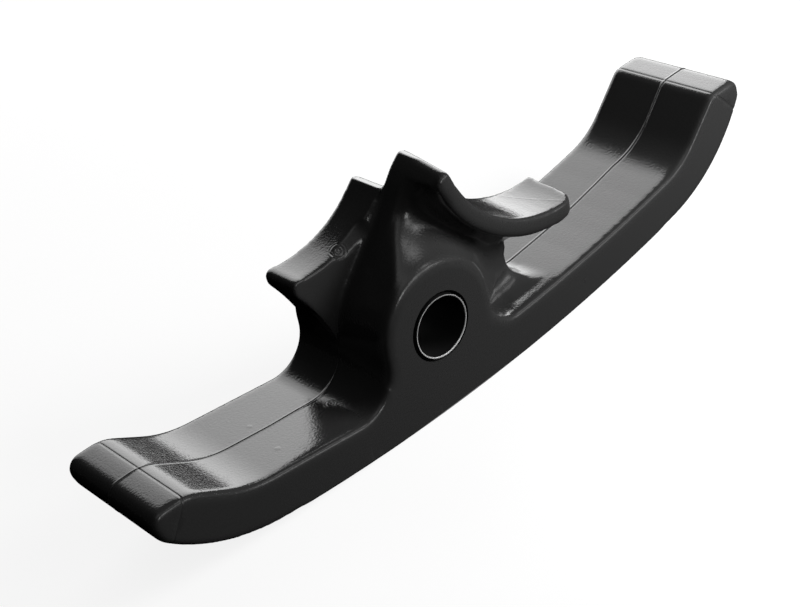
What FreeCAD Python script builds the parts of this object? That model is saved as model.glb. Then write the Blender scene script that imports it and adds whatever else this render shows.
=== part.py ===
import FreeCAD, Part
import math
import os
import Sketcher

# Chain guide for a bicycle: a long curved bar with a pivot boss in its middle and two claws above
# the boss, moulded in one piece and split by the mould at its mid-plane, and a thin metal bush.
# X runs along the bar, Y along the pivot bore and Z up. The origin is the middle of the bore.

doc = FreeCAD.newDocument("chain_guide")
sheet = doc.addObject("Spreadsheet::Sheet", "Sizes")

SIZES = [
    # the bar, seen from the side
    ("bar_width", 18.2),
    ("sole_radius", 237.0),
    ("sole_depth", 12.4),
    ("sole_centre", 1.6),
    ("bar_thickness", 6.2),
    ("left_reach", 45.4),
    ("left_nose_top", 1.25),
    ("left_nose_corner", 1.8),
    ("left_nose_foot", 2.5),
    ("left_nose_lean", 1.2),
    ("left_cap", 5.95),
    ("left_ramp", 7.9),
    ("left_heel", 18.1),
    ("left_heel_radius", 27.0),
    ("left_crest_radius", 6.0),
    ("left_hollow_depth", 3.65),
    ("left_hollow_radius", 16.0),
    ("left_root_depth", 6.75),
    ("left_root_radius", 5.2),
    ("right_reach", 60.1),
    ("right_tip_top", 5.5),
    ("right_tip_foot", 3.05),
    ("right_tip_radius", 1.4),
    ("right_foot_radius", 1.0),
    ("right_cap", 5.6),
    ("right_ramp", 7.6),
    ("right_heel", 16.7),
    ("right_heel_radius", 23.56),
    ("right_crest_radius", 1.6),
    ("right_hollow_radius", 12.0),
    ("right_root_radius", 3.8),
    ("edge_radius", 0.8),
    ("sole_edge_radius", 0.35),
    # the pivot boss
    ("boss_radius", 9.0),
    ("boss_flare", 8.0),
    ("boss_flare_radius", 9.5),
    # the near claw, on the half of the mould that faces -Y
    ("crest_x", 6.75),
    ("crest_z", 19.48),
    ("crest_radius", 0.7),
    ("near_claw_reach", 26.5),
    ("near_claw_tip_z", 4.95),
    ("near_claw_radius", 18.7),
    ("near_claw_draft", 0.6),
    ("near_claw_thickness", 2.6),
    ("near_claw_overhang", 8.6),
    ("near_rim_cove", 3.0),
    ("near_rim_cove_radius", 6.0),
    ("near_web_face", 3.4),
    ("near_web_end", 17.1),
    ("near_foot_radius", 3.5),
    ("near_tip_radius", 2.5),
    # the far claw, on the other half
    ("ridge_x", 2.9),
    ("ridge_z", 16.15),
    ("ridge_radius", 0.6),
    ("far_claw_reach", 13.6),
    ("far_claw_tip_z", 11.06),
    ("far_claw_radius", 18.0),
    ("far_claw_foot_z", 9.2),
    ("far_claw_foot_drop", 1.2),
    ("far_claw_under_radius", 32.0),
    ("far_claw_overhang", 5.9),
    ("far_tip_radius", 0.8),
    # the bush and its bore
    ("bush_outer", 9.0),
    ("bush_bore", 8.0),
    ("bush_proud", 0.35),
    ("bush_chamfer", 0.2),
    ("bore_chamfer", 0.3),
]

for row, (alias, value) in enumerate(SIZES, start=1):
    sheet.set("A%d" % row, alias)
    sheet.set("B%d" % row, str(value))
    sheet.setAlias("B%d" % row, alias)
doc.recompute()


class Dim:
    """A length with its number and the expression that binds it to the sheet."""

    def __init__(self, number, text):
        self.number = number
        self.text = text

    def __add__(self, other):
        other = as_dim(other)
        return Dim(self.number + other.number, "(%s + %s)" % (self.text, other.text))

    def __sub__(self, other):
        other = as_dim(other)
        return Dim(self.number - other.number, "(%s - %s)" % (self.text, other.text))

    def __mul__(self, other):
        other = as_dim(other)
        return Dim(self.number * other.number, "(%s * %s)" % (self.text, other.text))

    def __truediv__(self, other):
        other = as_dim(other)
        return Dim(self.number / other.number, "(%s / %s)" % (self.text, other.text))

    def __neg__(self):
        return Dim(-self.number, "(0 - %s)" % self.text)

    def root(self):
        return Dim(math.sqrt(self.number), "sqrt(%s)" % self.text)


def as_dim(value):
    if isinstance(value, Dim):
        return value
    return Dim(float(value), repr(float(value)))


class Sizes:
    """Each alias of the sheet as a Dim."""

    def __getattr__(self, alias):
        return Dim(float(sheet.get(alias)), "Sizes." + alias)


size = Sizes()


def bind(obj, path, dim):
    obj.setExpression(path, dim.text)


def circle_z(x, centre_x, centre_z, radius, side):
    """Height of a circle at x, on its lower (-1) or upper (+1) side."""
    dx = as_dim(x) - centre_x
    return centre_z + (radius * radius - dx * dx).root() * side


def arc_edge(start, end, radius, side):
    """Arc from start to end that bulges to the left (+1) or right (-1) of that direction."""
    chord = end - start
    half = chord.Length / 2
    normal = FreeCAD.Vector(-chord.y, chord.x, 0).normalize()
    centre = (start + end) / 2 - normal * side * math.sqrt(radius * radius - half * half)
    circle = Part.Circle(centre, FreeCAD.Vector(0, 0, 1), radius)
    first, last = circle.parameter(start), circle.parameter(end)
    if side > 0:
        first, last = last, first
    return Part.ArcOfCircle(circle, first, last)


def outline(name, corners, placement):
    """A closed sketch. Each corner is (x, y, bend): bend is None for a straight edge to the next
    corner, or (radius, side) for an arc."""
    sketch = doc.addObject("Sketcher::SketchObject", name)
    sketch.Placement = placement
    points = [FreeCAD.Vector(as_dim(x).number, as_dim(y).number, 0) for x, y, bend in corners]
    starts = []
    ends = []
    for index, (x, y, bend) in enumerate(corners):
        start = points[index]
        end = points[(index + 1) % len(points)]
        if bend is None:
            geo = sketch.addGeometry(Part.LineSegment(start, end), False)
            starts.append((geo, 1))
            ends.append((geo, 2))
            continue
        radius, side = bend
        geo = sketch.addGeometry(arc_edge(start, end, radius.number, side), False)
        starts.append((geo, 2 if side > 0 else 1))
        ends.append((geo, 1 if side > 0 else 2))
        place = sketch.addConstraint(Sketcher.Constraint("Radius", geo, radius.number))
        bind(sketch, "Constraints[%d]" % place, radius)
    for index, (x, y, bend) in enumerate(corners):
        geo, pos = starts[index]
        last_geo, last_pos = ends[index - 1]
        sketch.addConstraint(Sketcher.Constraint("Coincident", last_geo, last_pos, geo, pos))
        for kind, value in (("DistanceX", as_dim(x)), ("DistanceY", as_dim(y))):
            place = sketch.addConstraint(Sketcher.Constraint(kind, -1, 1, geo, pos, value.number))
            bind(sketch, "Constraints[%d]" % place, value)
    return sketch


# A sketch on this placement has its x along X and its y along Z.
SIDE = FreeCAD.Placement(FreeCAD.Vector(0, 0, 0), FreeCAD.Rotation(FreeCAD.Vector(1, 0, 0), 90))
PLAN = FreeCAD.Placement()


def extrusion(name, sketch, towards_front, towards_back):
    """Solid of a side outline from -Y (front) to +Y (back)."""
    solid = doc.addObject("Part::Extrusion", name)
    solid.Base = sketch
    solid.DirMode = "Custom"
    solid.Dir = FreeCAD.Vector(0, 1, 0)
    solid.Solid = True
    solid.LengthRev = towards_front.number
    bind(solid, "LengthRev", towards_front)
    solid.LengthFwd = towards_back.number
    bind(solid, "LengthFwd", towards_back)
    return solid


def turned(name, sketch, centre_x, centre_z):
    """Solid of revolution about an axis parallel to Y."""
    solid = doc.addObject("Part::Revolution", name)
    solid.Source = sketch
    solid.Axis = FreeCAD.Vector(0, 1, 0)
    solid.Solid = True
    solid.Angle = 360
    solid.Base = FreeCAD.Vector(centre_x.number, 0, centre_z.number)
    sketch.Placement = FreeCAD.Placement(solid.Base, FreeCAD.Rotation())
    for axis, value in (("x", centre_x), ("z", centre_z)):
        bind(solid, "Base." + axis, value)
        bind(sketch, ".Placement.Base." + axis, value)
    return solid


half_width = size.bar_width / 2
nothing = as_dim(0)

# The bar and the lower walls of the boss. The sole is one wide arc with a tighter heel at each
# end, and the upper side runs beside it at the bar's thickness.
sole_axis_z = size.sole_radius - size.sole_depth
top_radius = size.sole_radius - size.bar_thickness


def sole_z(x):
    return circle_z(x, size.sole_centre, sole_axis_z, size.sole_radius, -1)


def top_z(x):
    return circle_z(x, size.sole_centre, sole_axis_z, top_radius, -1)


left_crest = -(size.left_reach - size.left_cap)
left_hollow = left_crest + size.left_ramp
left_foot = (-(size.left_reach - size.left_nose_lean), -size.left_nose_foot)
right_crest = size.right_reach - size.right_cap
right_hollow = right_crest - size.right_ramp
left_sole_end = -(size.left_reach - size.left_heel)
right_sole_end = size.right_reach - size.right_heel

bar_outline = outline(
    "bar_outline",
    [
        (-size.left_reach, size.left_nose_top, None),
        (left_foot[0], left_foot[1], (size.left_heel_radius, -1)),
        (left_sole_end, sole_z(left_sole_end), (size.sole_radius, -1)),
        (right_sole_end, sole_z(right_sole_end), (size.right_heel_radius, -1)),
        (size.right_reach, size.right_tip_foot, None),
        (size.right_reach, size.right_tip_top, None),
        (right_crest, size.right_tip_top, None),
        (right_hollow, top_z(right_hollow), (top_radius, 1)),
        (size.boss_radius, top_z(size.boss_radius), None),
        (size.boss_radius, nothing, (size.boss_radius, -1)),
        (nothing, size.boss_radius, (size.boss_radius, -1)),
        (-size.boss_radius, nothing, None),
        (-size.boss_radius, -size.left_root_depth, None),
        (left_hollow, -size.left_hollow_depth, None),
        (left_crest, size.left_nose_top, None),
    ],
    SIDE,
)
bar_blank = extrusion("bar_blank", bar_outline, half_width, half_width)


def at(x, z, slack=0.02):
    """Picks the edges along Y that stand at x and z."""
    x = as_dim(x).number
    z = as_dim(z).number
    slack = as_dim(slack).number

    def match(edge):
        ends = [vertex.Point for vertex in edge.Vertexes]
        if len(ends) != 2 or abs(ends[0].y - ends[1].y) < 1:
            return False
        return all(math.hypot(point.x - x, point.z - z) < slack for point in ends)

    return match


def on_face(y, top):
    """Picks the edges in the plane at y: those of the sole, or all the others (top)."""
    y = as_dim(y).number

    def match(edge):
        points = edge.discretize(5)
        if any(abs(point.y - y) > 1e-4 for point in points):
            return False
        middle = points[2]
        half_depth = (sole_z(middle.x) + size.bar_thickness / 2).number
        return (middle.z > half_depth) == top

    return match


def rounded(name, base, picks):
    """Fillets base. Each pick is (match, radius)."""
    doc.recompute()
    fillet = doc.addObject("Part::Fillet", name)
    fillet.Base = base
    chosen = []
    for match, radius in picks:
        found = [i for i, edge in enumerate(base.Shape.Edges, start=1) if match(edge)]
        if not found:
            raise ValueError("no edge for " + name)
        chosen += [(i, radius.number, radius.number) for i in found]
    fillet.Edges = chosen
    doc.recompute()
    return fillet


bar_bent = rounded(
    "bar_bent",
    bar_blank,
    [
        (at(-size.left_reach, size.left_nose_top), size.left_nose_corner),
        (at(left_crest, size.left_nose_top), size.left_crest_radius),
        (at(left_hollow, -size.left_hollow_depth), size.left_hollow_radius),
        (at(-size.boss_radius, -size.left_root_depth), size.left_root_radius),
        (at(size.boss_radius, top_z(size.boss_radius)), size.right_root_radius),
        (at(right_hollow, top_z(right_hollow)), size.right_hollow_radius),
        (at(right_crest, size.right_tip_top), size.right_crest_radius),
        (at(size.right_reach, size.right_tip_top), size.right_tip_radius),
        (at(size.right_reach, size.right_tip_foot), size.right_foot_radius),
    ],
)
bar = rounded(
    "bar",
    bar_bent,
    [
        (on_face(-half_width, top=True), size.edge_radius),
        (on_face(half_width, top=True), size.edge_radius),
        (on_face(-half_width, top=False), size.sole_edge_radius),
        (on_face(half_width, top=False), size.sole_edge_radius),
    ],
)


def fused(name, kind, shapes):
    obj = doc.addObject(kind, name)
    obj.Shapes = shapes
    return obj


def tangent_point(x, z, radius, side):
    """Where the line from (x, z) touches the circle about the origin, on its -X (-1) or +X (+1)
    side."""
    square = x * x + z * z
    run = radius * (square - radius * radius).root() / square * side
    share = radius * radius / square
    return x * share + z * run, z * share - x * run


def arc_centre(start, end, radius):
    """Centre of the arc from start to end whose centre is to the left of that direction."""
    dx = end[0] - start[0]
    dz = end[1] - start[1]
    square = dx * dx + dz * dz
    rise = (radius * radius / square - 0.25).root()
    return (start[0] + end[0]) / 2 - dz * rise, (start[1] + end[1]) / 2 + dx * rise


# The near claw. Seen from the side it rises from the boss in a flat flank to a sharp crest, sweeps
# down in a hollow arc and ends over the right arm.
crest = (size.crest_x, size.crest_z)
near_tip = (size.near_claw_reach, size.near_claw_tip_z)
flank_foot = tangent_point(size.crest_x, size.crest_z, size.boss_radius, -1)
claw_axis = arc_centre(crest, near_tip, size.near_claw_radius)
under_radius = size.near_claw_radius + size.near_claw_thickness
foot_x = size.near_web_end + size.near_foot_radius


def under_z(x):
    return circle_z(x, claw_axis[0], claw_axis[1], under_radius, -1)


near_outline = outline(
    "near_outline",
    [
        (flank_foot[0], flank_foot[1], None),
        (crest[0], crest[1], (size.near_claw_radius, -1)),
        (near_tip[0], near_tip[1], None),
        (near_tip[0], under_z(near_tip[0]), (under_radius, 1)),
        (size.near_web_end, under_z(size.near_web_end), None),
        (size.near_web_end, top_z(foot_x) + size.near_foot_radius, (size.near_foot_radius, -1)),
        (foot_x, top_z(foot_x), None),
        (foot_x, top_z(foot_x) - size.bar_thickness / 2, None),
        (nothing, top_z(foot_x) - size.bar_thickness / 2, None),
    ],
    SIDE,
)
near_blank = extrusion("near_blank", near_outline, size.near_claw_overhang, nothing)
near_cored = rounded(
    "near_cored",
    near_blank,
    [(at(size.near_web_end, under_z(size.near_web_end)), size.near_foot_radius * 0.6)],
)

# The hollow widens towards the front by the mould's draft, so the crest slopes down that way too.
draft_radius = size.near_claw_radius + size.near_claw_draft
draft_outline = outline(
    "draft_outline",
    [
        (nothing, nothing, None),
        (size.near_claw_radius, nothing, None),
        (draft_radius, -size.near_claw_overhang, None),
        (draft_radius, -size.near_claw_overhang - 1, None),
        (nothing, -size.near_claw_overhang - 1, None),
    ],
    PLAN,
)
draft = turned("draft", draft_outline, claw_axis[0], claw_axis[1])
near_drafted = doc.addObject("Part::Cut", "near_drafted")
near_drafted.Base = near_cored
near_drafted.Tool = draft
near_prism = rounded(
    "near_prism",
    near_drafted,
    [(at(crest[0], crest[1], size.near_claw_draft * 1.5), size.crest_radius)],
)

# Its depth: a rim along the hollow arc, a collar that flares from the boss and a foot on the bar
# stand forward of the web, each joined to the web by a cove.
rim_end = under_radius + size.near_rim_cove
rim_outline = outline(
    "rim_outline",
    [
        (size.near_claw_radius - 2, -size.near_claw_overhang, None),
        (under_radius, -size.near_claw_overhang, (size.near_rim_cove_radius, 1)),
        (rim_end, -size.near_web_face, None),
        (rim_end, -size.near_web_face + 0.5, None),
        (size.near_claw_radius - 2, -size.near_web_face + 0.5, None),
    ],
    PLAN,
)
rim = turned("rim", rim_outline, claw_axis[0], claw_axis[1])

collar_start = half_width - size.edge_radius
collar_end = size.boss_radius + size.boss_flare
collar_outline = outline(
    "collar_outline",
    [
        (size.boss_radius / 2, -collar_start, None),
        (size.boss_radius, -collar_start, (size.boss_flare_radius, 1)),
        (collar_end, -size.near_web_face, None),
        (collar_end, -size.near_web_face + 0.5, None),
        (size.boss_radius / 2, -size.near_web_face + 0.5, None),
    ],
    PLAN,
)
collar = turned("collar", collar_outline, nothing, nothing)

foot_outline = outline(
    "foot_outline",
    [
        (top_radius - size.near_foot_radius, -size.near_web_face, (size.near_foot_radius, 1)),
        (top_radius, -size.near_web_face - size.near_foot_radius, None),
        (top_radius + 1, -size.near_web_face - size.near_foot_radius, None),
        (top_radius + 1, -size.near_web_face + 0.5, None),
        (top_radius - size.near_foot_radius, -size.near_web_face + 0.5, None),
    ],
    PLAN,
)
foot = turned("foot", foot_outline, size.sole_centre, sole_axis_z)

web = doc.addObject("Part::Box", "web")
for path, dim in (
    ("Length", size.right_reach),
    ("Width", size.near_web_face),
    ("Height", size.crest_z + size.sole_depth + 5),
    (".Placement.Base.x", -size.boss_radius),
    (".Placement.Base.y", -size.near_web_face),
    (".Placement.Base.z", -size.sole_depth),
):
    bind(web, path, dim)

near_web = fused("near_web", "Part::MultiCommon", [near_prism, web])
near_rim = fused("near_rim", "Part::MultiCommon", [near_prism, rim])
near_collar = fused("near_collar", "Part::MultiCommon", [near_prism, collar])
near_foot = fused("near_foot", "Part::MultiCommon", [near_prism, foot])


def upright(x, y):
    """Picks the edges parallel to Z that stand at x and y."""
    x = as_dim(x).number
    y = as_dim(y).number

    def match(edge):
        ends = [vertex.Point for vertex in edge.Vertexes]
        if len(ends) != 2 or abs(ends[0].z - ends[1].z) < 0.3:
            return False
        return all(math.hypot(point.x - x, point.y - y) < 0.02 for point in ends)

    return match


near_tip_round = rounded(
    "near_tip_round",
    near_rim,
    [(upright(near_tip[0], -size.near_claw_overhang), size.near_tip_radius)],
)

# The far claw, on the other side of the parting plane, leans over the left arm.
ridge = (size.ridge_x, size.ridge_z)
far_tip = (-size.far_claw_reach, size.far_claw_tip_z)
back_foot = tangent_point(size.ridge_x, size.ridge_z, size.boss_radius, 1)
far_collar_start = half_width - size.edge_radius
far_outline = outline(
    "far_outline",
    [
        (far_tip[0], far_tip[1], (size.far_claw_radius, -1)),
        (ridge[0], ridge[1], None),
        (back_foot[0], back_foot[1], None),
        (nothing, nothing, None),
        (-size.boss_radius, -size.far_claw_foot_drop, (size.far_claw_under_radius, -1)),
        (far_tip[0], size.far_claw_foot_z, None),
    ],
    SIDE,
)
far_blank = extrusion("far_blank", far_outline, nothing, far_collar_start)
far_prism = rounded(
    "far_prism",
    far_blank,
    [
        (at(ridge[0], ridge[1]), size.ridge_radius),
        (at(far_tip[0], far_tip[1]), size.far_tip_radius),
        (at(far_tip[0], size.far_claw_foot_z), size.far_tip_radius),
    ],
)
far_cove = far_collar_start - size.far_claw_overhang
far_collar_outline = outline(
    "far_collar_outline",
    [
        (size.boss_radius / 2, far_collar_start, None),
        (size.boss_radius / 2, size.far_claw_overhang - 0.5, None),
        (size.boss_radius + far_cove, size.far_claw_overhang - 0.5, None),
        (size.boss_radius + far_cove, size.far_claw_overhang, (far_cove, 1)),
        (size.boss_radius, far_collar_start, None),
    ],
    PLAN,
)
far_collar = turned("far_collar", far_collar_outline, nothing, nothing)
far_slab = doc.addObject("Part::Box", "far_slab")
for path, dim in (
    ("Length", size.far_claw_reach * 3),
    ("Width", size.far_claw_overhang),
    ("Height", size.ridge_z * 2 + 5),
    (".Placement.Base.x", -size.far_claw_reach - 1),
    (".Placement.Base.z", -size.ridge_z),
):
    bind(far_slab, path, dim)
far_web = fused("far_web", "Part::MultiCommon", [far_prism, far_slab])
far_round = fused("far_round", "Part::MultiCommon", [far_prism, far_collar])

# The whole moulding, bored for the bush with a small lead-in at each face.
moulding = fused(
    "moulding",
    "Part::MultiFuse",
    [bar, near_web, near_tip_round, near_collar, near_foot, far_web, far_round],
)
bore_radius = size.bush_outer / 2
lead_in = size.bore_chamfer
drill_outline = outline(
    "drill_outline",
    [
        (nothing, -half_width - 1, None),
        (bore_radius + lead_in + 1, -half_width - 1, None),
        (bore_radius, -half_width + lead_in, None),
        (bore_radius, half_width - lead_in, None),
        (bore_radius + lead_in + 1, half_width + 1, None),
        (nothing, half_width + 1, None),
    ],
    PLAN,
)
drill = turned("drill", drill_outline, nothing, nothing)
guide_body = doc.addObject("Part::Cut", "guide_body")
guide_body.Base = moulding
guide_body.Tool = drill

# The bush is a thin sleeve that stands slightly proud of the plastic at both ends.
bush_half = half_width + size.bush_proud
bush_outline = outline(
    "bush_outline",
    [
        (size.bush_bore / 2, -bush_half, None),
        (bore_radius - size.bush_chamfer, -bush_half, None),
        (bore_radius, -bush_half + size.bush_chamfer, None),
        (bore_radius, bush_half - size.bush_chamfer, None),
        (bore_radius - size.bush_chamfer, bush_half, None),
        (size.bush_bore / 2, bush_half, None),
    ],
    PLAN,
)
pivot_bush = turned("pivot_bush", bush_outline, nothing, nothing)
doc.recompute()

for obj in doc.Objects:
    if "Invalid" in obj.State or "Error" in obj.State:
        raise ValueError(obj.Name + " did not build")
    shape = getattr(obj, "Shape", None)
    if shape is not None and (shape.isNull() or not shape.isValid()):
        raise ValueError(obj.Name + " has no valid shape")

os.makedirs("parts", exist_ok=True)
for node in (guide_body, pivot_bush):
    node.Label = node.Name
    if len(node.Shape.Solids) != 1:
        raise ValueError(node.Name + " is not one solid")
    node.Shape.exportStep("parts/" + node.Name + ".step")
    box = node.Shape.BoundBox
    print(node.Name, round(node.Shape.Volume, 1), len(node.Shape.Faces), box)
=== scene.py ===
import math

import bmesh
import bpy
from mathutils import Matrix, Vector


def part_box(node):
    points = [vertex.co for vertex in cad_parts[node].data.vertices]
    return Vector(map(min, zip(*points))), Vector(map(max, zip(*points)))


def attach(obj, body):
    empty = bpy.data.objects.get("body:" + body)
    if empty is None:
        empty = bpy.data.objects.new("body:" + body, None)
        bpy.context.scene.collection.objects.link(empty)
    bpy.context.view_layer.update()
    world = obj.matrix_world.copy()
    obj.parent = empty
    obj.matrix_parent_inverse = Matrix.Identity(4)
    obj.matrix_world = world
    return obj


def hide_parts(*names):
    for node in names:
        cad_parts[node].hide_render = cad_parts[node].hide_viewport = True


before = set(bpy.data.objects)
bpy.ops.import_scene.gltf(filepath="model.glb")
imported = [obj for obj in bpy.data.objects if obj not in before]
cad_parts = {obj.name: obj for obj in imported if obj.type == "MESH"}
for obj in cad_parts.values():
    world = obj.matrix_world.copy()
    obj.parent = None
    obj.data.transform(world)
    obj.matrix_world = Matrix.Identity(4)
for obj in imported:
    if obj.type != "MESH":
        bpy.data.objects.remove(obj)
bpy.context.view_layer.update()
mm = 0.001
merge_distance = 0.001 * mm


# The moulding is one shot of glossy black plastic: a long curved bar, a boss in its middle and two
# claws above it. The mould leaves every corner softly rounded, so the CAD mesh is rebuilt as one
# even skin and relaxed, and the marks of the mould are cut into it.
guide_skin_cell = 0.27 * mm
guide_relax_steps = 8
bar_half_width = 9.1 * mm
boss_radius = 9 * mm
bore_radius = 4.5 * mm
bore_axis = Vector()
flank_normal = Vector((-1, 0, 1)).normalized()
near_hollow_axis = Vector((24.99, 0, 23.59)) * mm
near_rim_radius = 21.3 * mm
sole_axis = Vector((1.6, 0, 224.6)) * mm
sole_radius = 237.0 * mm


def merged_copy(node, name):
    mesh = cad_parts[node].data.copy()
    shell = bmesh.new()
    shell.from_mesh(mesh)
    bmesh.ops.remove_doubles(shell, verts=shell.verts, dist=merge_distance)
    shell.to_mesh(mesh)
    shell.free()
    mesh.materials.clear()
    piece = bpy.data.objects.new(name, mesh)
    bpy.context.scene.collection.objects.link(piece)
    return piece


def keep_modifiers(piece):
    bpy.context.view_layer.update()
    shaped = piece.evaluated_get(bpy.context.evaluated_depsgraph_get())
    mesh = bpy.data.meshes.new_from_object(shaped)
    piece.modifiers.clear()
    piece.data = mesh


def turned(name, profile, steps):
    """A closed profile of (radius, y) in mm, turned about the Y axis."""
    form = bmesh.new()
    edges = []
    ring = [form.verts.new((radius * mm, y * mm, 0)) for radius, y in profile]
    for first, second in zip(ring, ring[1:] + ring[:1]):
        edges.append(form.edges.new((first, second)))
    about = {"axis": (0, 1, 0), "cent": (0, 0, 0), "angle": math.tau}
    bmesh.ops.spin(form, geom=ring + edges, steps=steps, use_merge=True, **about)
    bmesh.ops.remove_doubles(form, verts=form.verts, dist=merge_distance)
    bmesh.ops.recalc_face_normals(form, faces=form.faces)
    mesh = bpy.data.meshes.new(name)
    form.to_mesh(mesh)
    form.free()
    piece = bpy.data.objects.new(name, mesh)
    bpy.context.scene.collection.objects.link(piece)
    return piece


def eased(at, low, high):
    """0 below low and 1 above high, with a smooth step between."""
    share = min(1, max(0, (at - low) / (high - low)))
    return share * share * (3 - 2 * share)


def stretch(at, rise, fall):
    """1 along a stretch, with smooth steps from 0 to 1 over rise and back over fall."""
    return eased(at, *rise) * (1 - eased(at, *fall))


def relax(form, share, steps):
    """Smooths the skin, by the share that a function gives for each place."""
    chosen = [(vert, vert.co.copy(), share(vert.co)) for vert in form.verts]
    chosen = [entry for entry in chosen if entry[2] > 0]
    verts = [vert for vert, place, weight in chosen]
    every_way = {"use_axis_x": True, "use_axis_y": True, "use_axis_z": True}
    for step in range(steps):
        bmesh.ops.smooth_vert(form, verts=verts, factor=0.5, **every_way)
    for vert, place, weight in chosen:
        vert.co = place.lerp(vert.co, weight)


def flatten(form, chosen, normal, depth):
    """Presses the places that stand furthest out along a normal back to one flat."""
    verts = [vert for vert in form.verts if chosen(vert.co)]
    limit = max(vert.co.dot(normal) for vert in verts) - depth
    for vert in verts:
        vert.co -= normal * max(0, vert.co.dot(normal) - limit)


def across(place, axis):
    """The distance of a place from an axis that runs across the bar."""
    return math.hypot(place.x - axis.x, place.z - axis.z)


# The bore is closed while the skin is made and is cut again afterwards, so that its edge is crisp.
plug_radius = 6.0
plug_half = bar_half_width / mm
plug_steps = 96
plug_outline = [(0, -plug_half), (plug_radius, -plug_half), (plug_radius, plug_half), (0, plug_half)]
guide = merged_copy("guide_body", "moulded_guide")
plug = turned("plug", plug_outline, plug_steps)
closed = guide.modifiers.new("closed_bore", "BOOLEAN")
closed.operation = "UNION"
closed.object = plug
keep_modifiers(guide)
skin = guide.modifiers.new("even_skin", "REMESH")
skin.mode = "VOXEL"
skin.voxel_size = guide_skin_cell
keep_modifiers(guide)
form = bmesh.new()
form.from_mesh(guide.data)
relax(form, lambda place: 1, guide_relax_steps)

# The crests end in narrow flats. The rim is a little thicker than its solid, the near crest rises
# towards the parting plane, and the web's free edge stands a little further out.
crest_normal = Vector((0.3, 0, 0.95)).normalized()
far_crest_from = 13 * mm
far_crest_flat = 0.3 * mm
near_crest_from = 16 * mm
near_crest_flat = 0.22 * mm
far_half_full = 0.3


def on_far_crest(place):
    return place.y > far_half_full * mm and place.z > far_crest_from


def on_near_crest(place):
    return place.y <= far_half_full * mm and place.z > near_crest_from


flatten(form, on_far_crest, crest_normal, far_crest_flat)
flatten(form, on_near_crest, crest_normal, near_crest_flat)
rim_growth = 0.5
web_growth = 0.5
far_crest_rise = 0.35
near_crest_rise = 0.7
near_crest_slope = 0.5 / 9
far_half_from = 0.02


def grown(place):
    """Where a place of the skin goes. Each pair says where a soft edge starts and ends, in mm."""
    x, y, z = place / mm
    if y > far_half_from:
        rise = far_crest_rise * eased(z, 11, 15) * eased(y, far_half_from, far_half_full)
        return place + Vector((0, 0, rise)) * mm
    away = (place - near_hollow_axis) * Vector((1, 0, 1))
    from_rim = (away.length - near_rim_radius) / mm
    thicker = rim_growth * (1 - eased(x, 22, 28)) * stretch(from_rim, (-2, 0), (0.8, 4))
    higher = (near_crest_rise + near_crest_slope * y) * eased(z, 12, 18)
    on_web_edge = stretch(x, (14, 17), (17.2, 18.5)) * stretch(z, (-5.5, -2), (2, 3)) * eased(y, -3.9, -3.5)
    return place + (away.normalized() * thicker + Vector((web_growth * on_web_edge, 0, higher))) * mm


for vert in form.verts:
    vert.co = grown(vert.co)


# The flat flank turns into the web in a soft corner that widens towards the crest, the rim melts
# into the web through a wide valley, and the web, the rim and the boss have softer edges.
flank_corner_width = 1.0
flank_corner_widening = 1.6
flank_corner_blend = 0.8
crest_height = 17


def from_grown_rim(place):
    """How far in mm a place lies outside the near claw's rim."""
    return (across(place, near_hollow_axis) - near_rim_radius) / mm - rim_growth


def on_flank_corner(place):
    x, y, z = place / mm
    from_bore = across(place, bore_axis) / mm
    inside_flank = (boss_radius - place.dot(flank_normal)) / mm
    soft_from = flank_corner_width + z / crest_height * flank_corner_widening
    soft_to = soft_from + flank_corner_blend
    on_near_web = (y < -1.2) * (x > -9)
    near_flank = 1 - eased(inside_flank, soft_from, soft_to)
    return on_near_web * eased(from_bore, 9.6, 11) * stretch(z, (3, 6), (15, 17)) * near_flank


def under_rim(place):
    x, y, z = place / mm
    off_boss = eased(across(place, bore_axis) / mm, 9.2, 11.5)
    valley = stretch(from_grown_rim(place), (-0.2, 0.4), (3.5, 8))
    return valley * off_boss * (1 - eased(y, -3.6, -2.4)) * (1 - eased(x, 15.5, 17))


def on_rim_edge(place):
    return place.y < -7.4 * mm and abs(from_grown_rim(place)) < 0.8


def on_boss_edge(place):
    on_edge = abs(across(place, bore_axis) - boss_radius) < 1.3 * mm
    return on_edge and place.y < -7.6 * mm and place.z > -5 * mm


def on_web_foot(place):
    x, y, z = place / mm
    over_bar = stretch(x, (13.5, 15), (20, 22)) * stretch(y, (-7, -6), (-2.5, -1.5))
    return over_bar * stretch(z, (-7.5, -6.5), (-1.5, 0))


softened = (
    (on_flank_corner, 20),
    (under_rim, 150),
    (on_rim_edge, 6),
    (on_boss_edge, 22),
    (on_web_foot, 40),
)
for share, steps in softened:
    relax(form, share, steps)

# The sole meets both side faces in one even round, which the coarse skin would leave wavy.
sole_round = 0.45 * mm
sole_edge_reach = 1.5 * mm
for vert in form.verts:
    outward = (vert.co - sole_axis) * Vector((1, 0, 1))
    from_sole = sole_radius - outward.length
    from_side = bar_half_width - abs(vert.co.y)
    on_sole = stretch(vert.co.x / mm, (-27, -24), (40, 43))
    if on_sole and max(from_sole, from_side) < sole_edge_reach:
        corner = Vector((max(0, sole_round - from_side), max(0, sole_round - from_sole)))
        corner = corner.normalized() * sole_round
        rounded = sole_axis + outward.normalized() * (sole_radius - sole_round + corner.y)
        rounded.y = math.copysign(bar_half_width - sole_round + corner.x, vert.co.y)
        vert.co = vert.co.lerp(rounded, on_sole)

# Where the gate was broken off, a small lens-shaped facet lies on the far claw's near edge.
gate_place = Vector((-3.75, 0.35, 11.8)) * mm
gate_along = Vector((0.923, 0, 0.384))
gate_out = (Vector((-0.384, 0, 0.923)) + Vector((0, -1, 0))).normalized()
gate_half = 2.9
gate_depth = 0.55
gate_reach = 4
gate_near_limit = -0.3 * mm
gate_far_limit = 2.5 * mm
gate_relax_reach = 4.5 * mm
gate_relax_steps = 3


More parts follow.
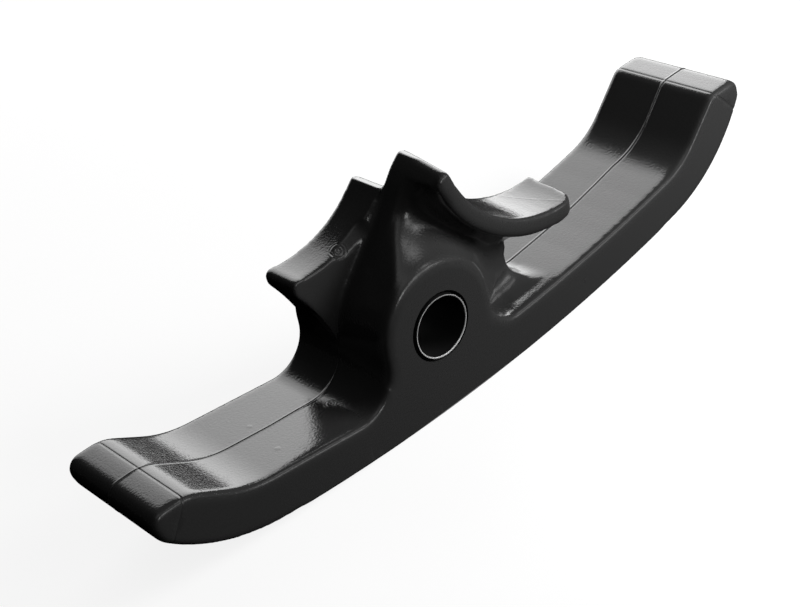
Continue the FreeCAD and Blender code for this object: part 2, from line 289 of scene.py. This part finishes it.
def near_gate(place):
    return (place - gate_place).length < gate_relax_reach and place.y < gate_far_limit


for vert in form.verts:
    from_gate = (vert.co - gate_place) / mm
    along = from_gate.dot(gate_along) / gate_half
    out = from_gate.dot(gate_out) + gate_depth * (1 - along ** 4)
    if abs(along) < 1 and out > 0 and from_gate.length < gate_reach and vert.co.y > gate_near_limit:
        vert.co -= gate_out * out * mm
relax(form, near_gate, gate_relax_steps)
form.to_mesh(guide.data)
form.free()

# The flat side faces and the sole need few triangles, apart from a margin along their edges.
side_facing = 0.9995
sole_facing = 0.97
sole_top = -3 * mm
margin_rings = 3
triangles_kept = 0.7
form = bmesh.new()
form.from_mesh(guide.data)
form.normal_update()
flat = {
    vert for vert in form.verts
    if abs(vert.normal.y) > side_facing or vert.normal.z < -sole_facing and vert.co.z < sole_top
}
for ring in range(margin_rings):
    flat = {vert for vert in flat if all(edge.other_vert(vert) in flat for edge in vert.link_edges)}
flat_places = [vert.index for vert in flat]
form.free()
flats = guide.vertex_groups.new(name="flats")
flats.add(flat_places, 1.0, "REPLACE")
thin = guide.modifiers.new("thin_flats", "DECIMATE")
thin.vertex_group = "flats"
thin.vertex_group_factor = 10
thin.ratio = triangles_kept
keep_modifiers(guide)
guide.vertex_groups.clear()


# Where the two halves of the mould met, a fine step runs along both arms, and it wanders a little
# from the middle. At each end a line shows where an insert was set into the mould, and a fainter
# one crosses the near claw's hollow.
def piecewise(at, points):
    """The height on a line through points of (place, height), and 0 beyond its ends."""
    for (low, low_height), (high, high_height) in zip(points, points[1:]):
        if low <= at < high:
            return low_height + (high_height - low_height) * (at - low) / (high - low)
    return 0.0


class Seam:
    """A fine line that a plane cuts into the skin, with its heights across it in mm."""

    margin = 3
    snap = 0.002 * mm
    along_plane = 0.9

    def __init__(self, place, normal, heights):
        self.place = Vector(place) * mm
        self.normal = Vector(normal).normalized()
        self.heights = heights

    def off(self, vert):
        return (vert.co - self.place).dot(self.normal) / mm

    def cut(self, form, on_seam):
        form.normal_update()
        reach = self.heights[-1][0] * 3 + self.margin
        faces = [face for face in form.faces if abs(self.off(face.verts[0])) < reach]
        faces = [face for face in faces if on_seam(face.verts[0])]
        for offset, height in self.heights:
            edges = {edge for face in faces for edge in face.edges}
            verts = {vert for face in faces for vert in face.verts}
            patch = faces + list(edges) + list(verts)
            plane = {"plane_co": self.place + self.normal * offset * mm, "plane_no": self.normal}
            cut = bmesh.ops.bisect_plane(form, geom=patch, dist=self.snap, **plane)
            faces = [piece for piece in cut["geom"] if isinstance(piece, bmesh.types.BMFace)]
        form.normal_update()
        moves = []
        for vert in {vert for face in faces for vert in face.verts}:
            height = piecewise(self.off(vert), self.heights) * mm
            if height and abs(vert.normal.dot(self.normal)) < self.along_plane:
                moves.append((vert, vert.normal * height))
        for vert, move in moves:
            vert.co += move


parting_top = 7 * mm
parting_facing = 0.7
hollow_line_reach = (19 * mm, 26 * mm)
left_end = -35 * mm
right_end = 53 * mm


def on_arm_top(vert):
    return vert.co.z < parting_top and abs(vert.normal.y) < parting_facing


def in_near_hollow(vert):
    on_claw = hollow_line_reach[0] < vert.co.x < hollow_line_reach[1] and vert.co.y < 0
    return on_claw and across(vert.co, near_hollow_axis) < near_rim_radius - mm


left_step = [(-0.26, 0), (-0.16, 0.02), (-0.08, -0.05), (0.0, -0.05), (0.08, 0.03), (0.16, 0.03), (0.26, 0)]
right_step = [(-0.18, 0), (-0.08, -0.04), (0.0, 0.06), (0.08, 0.07), (0.32, 0)]
left_groove = [(-0.14, 0), (-0.05, -0.05), (0.05, -0.05), (0.14, 0)]
right_groove = [(-0.2, 0), (-0.07, -0.06), (0.07, -0.06), (0.2, 0)]
claw_ridge = [(-0.15, 0), (-0.05, 0.01), (0.05, 0.01), (0.15, 0)]
claw_line = Seam((22.7, -4.8, 4.8), (-0.82, -0.57, 0.1), claw_ridge)
left_insert = Seam((-40.08, 0, 1.0), (0.83, 0, -0.56), left_groove)
right_insert = Seam((55.05, 0, 5.4), (0.75, 0, 0.66), right_groove)
left_seam = Seam((0, 0, 0), (0, 1, 0), left_step)
right_seam = Seam((0, 0, 0), (0, 1, 0), right_step)
form = bmesh.new()
form.from_mesh(guide.data)
claw_line.cut(form, in_near_hollow)
left_insert.cut(form, lambda vert: vert.co.x < left_end)
right_insert.cut(form, lambda vert: vert.co.x > right_end and vert.co.z > 0)
left_seam.cut(form, lambda vert: vert.co.x < 0 and on_arm_top(vert))
right_seam.cut(form, lambda vert: vert.co.x >= 0 and on_arm_top(vert))

seam_path = [(-22, 0), (-11, 0.6), (-9, 0.6), (-8, 0), (32, 0), (43, 0.5), (50, -0.25), (57, 0), (60, 0)]
drift_reach = 1.6 * mm
drift_top = 6 * mm
drift_facing = 0.6
for vert in form.verts:
    if abs(vert.co.y) < drift_reach and vert.co.z < drift_top and abs(vert.normal.y) < drift_facing:
        drift = piecewise(vert.co.x / mm, seam_path) * mm
        vert.co.y += drift * (1 - abs(vert.co.y) / drift_reach)
form.to_mesh(guide.data)
form.free()

# The bore is a little wider at each face, so that a black ring shows round the bush.
groove_radius = 4.68
groove_depth = 1.5
bore_edge = bore_radius / mm
cutter_end = plug_half + 1
groove_foot = plug_half - groove_depth
bore_steps = 192
groove_half = [(bore_edge, groove_foot), (groove_radius, groove_foot)]
cutter_half = groove_half + [(groove_radius, cutter_end), (0, cutter_end)]
cutter_outline = [(radius, -y) for radius, y in reversed(cutter_half)] + cutter_half
cutter = turned("cutter", cutter_outline, bore_steps)
bored = guide.modifiers.new("bored", "BOOLEAN")
bored.operation = "DIFFERENCE"
bored.object = cutter
keep_modifiers(guide)
for tool in (plug, cutter):
    bpy.data.objects.remove(tool)
for polygon in guide.data.polygons:
    polygon.use_smooth = True
guide_crease = math.radians(50)
guide.data.set_sharp_from_angle(angle=guide_crease)


class Wire:
    """One output of a node, which takes part in ordinary sums."""

    def __init__(self, finish, socket):
        self.finish = finish
        self.socket = socket

    def __add__(self, other):
        return self.finish.maths("ADD", self, other)

    def __radd__(self, other):
        return self.finish.maths("ADD", other, self)

    def __sub__(self, other):
        return self.finish.maths("SUBTRACT", self, other)

    def __rsub__(self, other):
        return self.finish.maths("SUBTRACT", other, self)

    def __mul__(self, other):
        return self.finish.maths("MULTIPLY", self, other)

    def __rmul__(self, other):
        return self.finish.maths("MULTIPLY", other, self)

    def __truediv__(self, other):
        return self.finish.maths("DIVIDE", self, other)

    def __rtruediv__(self, other):
        return self.finish.maths("DIVIDE", other, self)

    def __abs__(self):
        return self.finish.maths("ABSOLUTE", self)


class Finish:
    """A node tree and the ways to fill it."""

    def __init__(self, tree):
        self.tree = tree

    def feed(self, node, inputs):
        for key, value in inputs.items():
            if isinstance(value, Wire):
                self.tree.links.new(value.socket, node.inputs[key])
            else:
                node.inputs[key].default_value = value

    def node(self, kind, settings, inputs, output=0):
        made = self.tree.nodes.new(kind)
        for key, value in settings.items():
            setattr(made, key, value)
        self.feed(made, inputs)
        return Wire(self, made.outputs[output])

    def maths(self, operation, *values):
        return self.node("ShaderNodeMath", {"operation": operation}, dict(enumerate(values)))

    def vectors(self, operation, *values, output="Value"):
        return self.node("ShaderNodeVectorMath", {"operation": operation}, dict(enumerate(values)), output)

    def spot(self, output="Object"):
        return self.node("ShaderNodeTexCoord", {}, {}, output)

    def scaled(self, vector, by):
        return self.vectors("MULTIPLY", vector, by, output="Vector")

    def eased(self, value, low, high):
        """0 below low and 1 above high, with a smooth step between."""
        limits = {"Value": value, "From Min": low, "From Max": high}
        return self.node("ShaderNodeMapRange", {"interpolation_type": "SMOOTHSTEP"}, limits)

    def noise(self, vector, scale, detail=2.0):
        return self.node("ShaderNodeTexNoise", {}, {"Vector": vector, "Scale": scale, "Detail": detail})

    def mixed(self, share, first, second):
        return self.node("ShaderNodeMix", {"data_type": "RGBA"}, {0: share, 6: first, 7: second}, 2)


class Surface(Finish):
    """A material with a Principled shader."""

    def __init__(self, name, **inputs):
        self.material = bpy.data.materials.new(name)
        self.material.use_nodes = True
        super().__init__(self.material.node_tree)
        self.shader = self.tree.nodes["Principled BSDF"]
        self.feed(self.shader, {key.replace("_", " "): value for key, value in inputs.items()})

    def covered(self, share, cover):
        """Lets another shader cover this one by a share, which may vary."""
        bare = Wire(self, self.shader.outputs[0])
        mix = self.node("ShaderNodeMixShader", {}, {0: share, 1: bare, 2: cover})
        self.feed(self.tree.nodes["Material Output"], {"Surface": mix})


def grey(level):
    return (level, level, level, 1)


# The plastic is deep black and glossy. A fine grain scatters its reflections, and faint ripples and
# pin marks stay where the melt met and where pins pushed the part out of the mould.
plastic_black = grey(0.02)
gloss_roughness = 0.1
mottle_roughness = 0.06
fade_from = 0.4
gloss = Surface("gloss_black_plastic")
where = gloss.spot()
mottle_scale = 400.0
grain_scale = 3200.0
streak_scale = 5000.0
streak_stretch = (0.12, 1, 0.12)
relief_height = 0.025 * mm
mottle = gloss.noise(where, mottle_scale)
grain = gloss.noise(where, grain_scale, 3.0)
streaks = gloss.noise(gloss.scaled(where, streak_stretch), streak_scale)


def away_from(place):
    return gloss.vectors("DISTANCE", where, Vector(place) * mm) / mm


def rings(place, reach, width):
    """Ripples round a place where the melt came in or met, which fade out with the distance."""
    away = away_from(place)
    wave = gloss.maths("SINE", away * (math.tau / width))
    return wave * (1 - gloss.eased(away, reach * fade_from, reach))


def pin_mark(place, radius):
    return gloss.eased(away_from(place), radius * fade_from, radius)


gate_rings = rings((-5.5, 0.7, 11.05), 1.7, 0.4)
left_root_rings = rings((-14.0, -2.0, -6.1), 1.3, 0.36)
pin_marks = (
    pin_mark((-24.44, -4.66, -4.63), 0.5),
    pin_mark((-23.7, 1.83, -4.73), 0.45),
    pin_mark((25.32, -9.1, -8.17), 0.35),
)
marks = gate_rings * 0.6 + left_root_rings * 0.3 - sum(pin_marks) * 0.9
relief = {"Strength": 1.0, "Distance": relief_height, "Height": grain * 0.85 + streaks * 0.15 + marks}
gloss.feed(gloss.shader, {
    "Base Color": plastic_black,
    "Roughness": gloss_roughness + mottle * mottle_roughness,
    "Normal": gloss.node("ShaderNodeBump", {}, relief),
})
guide.data.materials.append(gloss.material)
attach(guide, "root")
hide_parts("guide_body")


# The bush is a thin turned steel sleeve pressed through the boss, with a rounded end and a rougher lining.
# The end's light grey is a painted highlight, and the near black of the lining and the end's outer
# shoulder is painted shade inside the bore.
painted_highlight_from = 4.01 * mm
painted_highlight_to = 4.2 * mm
lip_painted_highlight = grey(0.5)
bore_painted_shade = grey(0.01)
lip_roughness = 0.25
lining_roughness = 0.45
steel = Surface("turned_steel", Metallic=0.5)
axis_away = steel.vectors("LENGTH", steel.scaled(steel.spot(), (1, 0, 1)))
from_lip = abs(axis_away - (painted_highlight_from + painted_highlight_to) / 2) / ((painted_highlight_to - painted_highlight_from) / 2)
off_lip = steel.maths("GREATER_THAN", from_lip, 1.0)
# The light grey on the lip is a painted highlight, and the near black elsewhere on the bush is painted
# shade.
steel.feed(steel.shader, {
    "Base Color": steel.mixed(off_lip, lip_painted_highlight, bore_painted_shade),
    "Roughness": lip_roughness + off_lip * (lining_roughness - lip_roughness),
})
bush_half = 9.3
lip_radius = 4.3
bush_bore = 4.0
lip_middle = (bush_bore + lip_radius) / 2
lip_half = (lip_radius - bush_bore) / 2
lip_steps = 8
half_profile = [(bore_edge, groove_foot), (lip_radius, groove_foot)]
for step in range(lip_steps + 1):
    turn = math.pi * step / lip_steps
    lip_place = (lip_middle + lip_half * math.cos(turn), bush_half - lip_half + lip_half * math.sin(turn))
    half_profile.append(lip_place)
bush_profile = half_profile + [(radius, -y) for radius, y in reversed(half_profile)]
bush_steps = 160
bush_crease = math.radians(40)
bush = turned("turned_bush", bush_profile, bush_steps)
for polygon in bush.data.polygons:
    polygon.use_smooth = True
bush.data.set_sharp_from_angle(angle=bush_crease)
bush.data.materials.append(steel.material)
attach(bush, "root")
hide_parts("pivot_bush")


# The floor is a plain pale sheet that the guide lies on. The camera and the reflections see it
# nearly white, and it keeps the guide's shadow.
def sheet_object(name, corners, material):
    form = bmesh.new()
    form.faces.new([form.verts.new(Vector(corner) * mm) for corner in corners])
    mesh = bpy.data.meshes.new(name)
    form.to_mesh(mesh)
    form.free()
    mesh.materials.append(material)
    made = bpy.data.objects.new(name, mesh)
    bpy.context.scene.collection.objects.link(made)
    return made


def level_sheet(half, height):
    return [(-half, -half, height), (half, -half, height), (half, half, height), (-half, half, height)]


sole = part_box("guide_body")[0].z / mm
paper_whitening = 0.85
whitened_rays = ("Is Camera Ray", "Is Glossy Ray", "Is Transmission Ray")
paper = Surface("pale_paper", Base_Color=grey(0.92), Roughness=0.9)
seen = sum(paper.node("ShaderNodeLightPath", {}, {}, kind) for kind in whitened_rays)
white = paper.node("ShaderNodeEmission", {}, {"Color": grey(1), "Strength": 1.0})
paper.covered(seen * paper_whitening, white)
floor_half = 1000
sheet_object("floor", level_sheet(floor_half, sole), paper.material)


# A tall soft panel stands behind the guide to the right, brightest where its lamp is. A small one
# in front lights the near faces and stays out of the reflections. Black cloth lies on the floor,
# which only the reflections show.
class LampCloth(Finish):
    """A cloth that shines by itself."""

    def __init__(self, name):
        self.material = bpy.data.materials.new(name)
        self.material.use_nodes = True
        super().__init__(self.material.node_tree)
        self.tree.nodes.remove(self.tree.nodes["Principled BSDF"])

    def shine(self, colour):
        lamp = self.node("ShaderNodeEmission", {}, {"Color": colour, "Strength": 1.0})
        self.feed(self.tree.nodes["Material Output"], {"Surface": lamp})


lamp_place = Vector((198, 121.5, 80)) * mm
lamp_reach = 390 * mm
lamp_power = 5.0
panel_foot = 8.0
panel_left = (-60, 363)
panel_left_top = 215
panel_right = (220, 101)
panel_right_top = 290
panel_corners = [
    (*panel_right, panel_foot),
    (*panel_left, panel_foot),
    (*panel_left, panel_left_top),
    (*panel_right, panel_right_top),
]
panel_cloth = LampCloth("panel_cloth")
from_lamp = panel_cloth.vectors("DISTANCE", panel_cloth.spot(), lamp_place)
panel_cloth.shine(panel_cloth.maths("MAXIMUM", lamp_power - from_lamp * (lamp_power / lamp_reach), 0.0))
panel = sheet_object("main_panel", panel_corners, panel_cloth.material)
panel.visible_camera = False
front_power = 25.0
front_corners = [(75, -110, 25), (140, -60, 25), (130, -50, 85), (65, -100, 85)]
front_cloth = LampCloth("front_cloth")
front_cloth.shine(grey(front_power))
front_panel = sheet_object("front_panel", front_corners, front_cloth.material)
front_panel.visible_camera = False
front_panel.visible_glossy = False
black_cloth = Surface("black_cloth", Base_Color=grey(0), Specular_IOR_Level=0.0)
from_below = black_cloth.node("ShaderNodeNewGeometry", {}, {}, "Backfacing")
black_cloth.covered(from_below, black_cloth.node("ShaderNodeBsdfTransparent", {}, {}))
card_half = 900
card_lift = 0.4
black_card = sheet_object("black_card", level_sheet(card_half, sole + card_lift), black_cloth.material)
black_card.visible_camera = False
black_card.visible_shadow = False

# The room is nearly dark. A few soft glows light the rounded edges that face the front and the top.
world = bpy.data.worlds.new("studio")
bpy.context.scene.world = world
world.use_nodes = True
room = Finish(world.node_tree)


def glow_towards(azimuth, elevation, tightness):
    turn = math.radians(azimuth)
    lift = math.radians(elevation)
    way = (math.cos(turn) * math.cos(lift), math.sin(turn) * math.cos(lift), math.sin(lift))
    facing = room.vectors("DOT_PRODUCT", room.spot("Generated"), way)
    return room.maths("POWER", room.maths("MAXIMUM", facing, 0.0), tightness)


overhead_glow = glow_towards(-120, 68, 20) * 0.5
front_glow = glow_towards(-60, 10, 4) * 0.25
boss_glow = glow_towards(-98, 24, 150) * 6.0 + glow_towards(-52, 22, 110) * 3.0
web_glow = glow_towards(-75, 30, 60) * 2.5
foot_glow = glow_towards(-40, 50, 90) * 2.2
dim_room = 0.012
room_light = overhead_glow + front_glow + boss_glow + web_glow + foot_glow + dim_room
room.feed(world.node_tree.nodes["Background"], {"Color": room_light, "Strength": 1.0})

# The camera stands where the photograph was taken, with the same tilt and field of view.
camera_place = Vector((-99.65, -140.25, 113.14)) * mm
camera_aim = Vector((0.754, -0.679, -0.168)) * mm
camera_roll = math.radians(12.93)
focal_pixels = 1620
photo_width_pixels = 800
nearest_seen = 10 * mm
camera_data = bpy.data.cameras.new("camera")
camera_data.lens = focal_pixels / photo_width_pixels * camera_data.sensor_width
camera_data.clip_start = nearest_seen
camera = bpy.data.objects.new("camera", camera_data)
bpy.context.scene.collection.objects.link(camera)
look = (camera_aim - camera_place).to_track_quat("-Z", "Y").to_matrix().to_4x4()
camera.matrix_world = Matrix.Translation(camera_place) @ look @ Matrix.Rotation(-camera_roll, 4, "Z")
bpy.context.scene.camera = camera
bpy.context.scene.view_settings.view_transform = "Standard"
